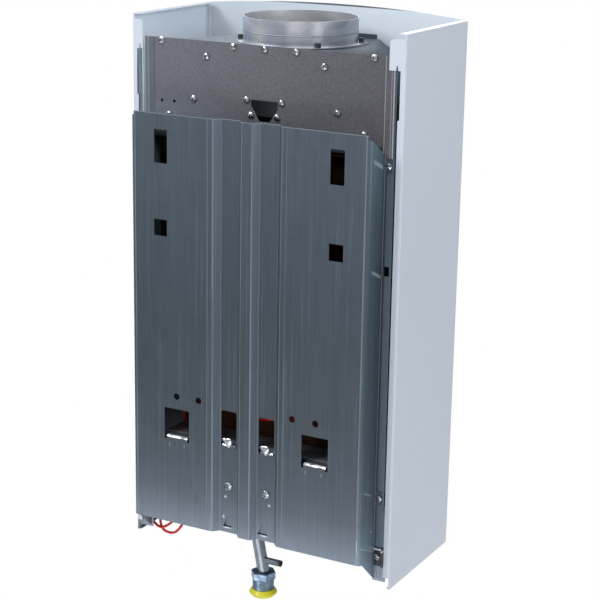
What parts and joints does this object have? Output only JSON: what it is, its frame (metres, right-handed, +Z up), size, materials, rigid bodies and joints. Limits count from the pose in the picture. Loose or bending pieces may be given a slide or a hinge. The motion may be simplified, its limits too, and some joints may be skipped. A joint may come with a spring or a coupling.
{
  "type": "gas instantaneous water heater",
  "caption": "Wall-hung open-flue gas water heater with its pressed wall plate, draught hood, flue collar, finned copper exchanger, burner, valves and bowed casing.",
  "frame": {"origin": "on the wall plane, in the middle, at the height of the middle of the hanging slots", "axes": "+Z up, +Y into the wall, -Y towards the room, +X to the left of someone who looks at the heater's back"},
  "size_m": [0.35, 0.247, 0.707],
  "materials": {
    "galvanised": "passivated zinc, satin",
    "zinc_bracket": "zinc plated",
    "hood_grey": "matte",
    "hood_galvanised": "satin galvanised",
    "collar_aluminium": "satin",
    "screw_zinc": "bright zinc",
    "dark_fixing": "black phosphate",
    "copper": "satin copper",
    "brass": "satin",
    "steel": "satin",
    "cast_aluminium": "as cast",
    "diaphragm_rubber": "matte",
    "white_enamel": "semi-gloss",
    "fascia_plastic": "fine texture",
    "knob_plastic": "satin",
    "sensor_black": "matte",
    "ceramic": "glazed",
    "glass": "clear",
    "yellow_plastic": "satin",
    "red_lead": "satin"
  },
  "bodies": {
    "heater": {"back_plate": "galvanised", "side_rail_left": "galvanised", "side_rail_right": "galvanised", "valve_bracket": "zinc_bracket", "plate_screws": "screw_zinc", "hood_back_panel": "hood_grey", "hood_shell": "hood_galvanised", "hood_baffle": "hood_galvanised", "hood_screws": "screw_zinc", "flue_collar": "collar_aluminium", "collar_screws": "dark_fixing", "spill_sensor_bracket": "zinc_bracket", "spill_sensor": "sensor_black", "exchanger_shell": "copper", "exchanger_fins": "copper", "exchanger_tubes": "copper", "combustion_chamber": "copper", "chamber_coil": "copper", "hot_water_pipe": "copper", "hot_nipple": "brass", "cold_nipple": "brass", "burner_frame": "hood_galvanised", "burner_bars": "steel", "gas_manifold": "steel", "injectors": "brass", "pilot_burner": "brass", "pilot_tube": "copper", "thermocouple": "copper", "spark_electrode": "ceramic", "ignition_bracket": "zinc_bracket", "gas_valve_body": "cast_aluminium", "gas_valve_cover": "cast_aluminium", "water_valve_body": "brass", "water_valve_cover": "brass", "diaphragm": "diaphragm_rubber", "valve_screws": "screw_zinc", "gas_pipe": "steel", "gas_union_nut": "steel", "gas_connection_nut": "steel", "igniter_body": "ceramic", "igniter_bracket": "zinc_bracket", "casing": "white_enamel", "control_fascia": "fascia_plastic", "sight_glass": "glass", "casing_clips": "dark_fixing", "clip_screws": "screw_zinc", "overheat_sensor": "sensor_black", "sensor_lead": "red_lead", "limiter_lead": "red_lead", "spark_lead": "red_lead", "lead_block": "ceramic"},
    "power_control": {"power_knob": "knob_plastic", "power_spindle": "steel"},
    "temperature_control": {"temperature_knob": "knob_plastic", "flow_spindle": "steel"},
    "button": {"igniter_button": "knob_plastic"},
    "cap": {"gas_cap": "yellow_plastic"},
    "lift": {"lift_pin": "steel", "diaphragm_plate": "steel"}
  },
  "joints": [
    {"name": "power_knob_turn", "type": "hinge", "parent": "heater", "child": "power_control", "pos_m": [0, -0.18, -0.432], "axis": [0, -1, 0], "range_deg": [0, 180]},
    {"name": "temperature_knob_turn", "type": "hinge", "parent": "heater", "child": "temperature_control", "pos_m": [0.068, -0.18, -0.432], "axis": [0, -1, 0], "range_deg": [0, 270]},
    {"name": "igniter_press", "type": "slide", "parent": "heater", "child": "button", "axis": [0, 1, 0], "range_m": [0, 0.005], "stiffness_N_per_m": 800, "springref_m": -0.002},
    {"name": "gas_cap_pull", "type": "slide", "parent": "heater", "child": "cap", "axis": [0, 0, -1], "range_m": [0, 0.03]},
    {"name": "water_lift", "type": "slide", "parent": "heater", "child": "lift", "axis": [-1, 0, 0], "range_m": [0, 0.003], "stiffness_N_per_m": 1500, "springref_m": -0.001}
  ]
}
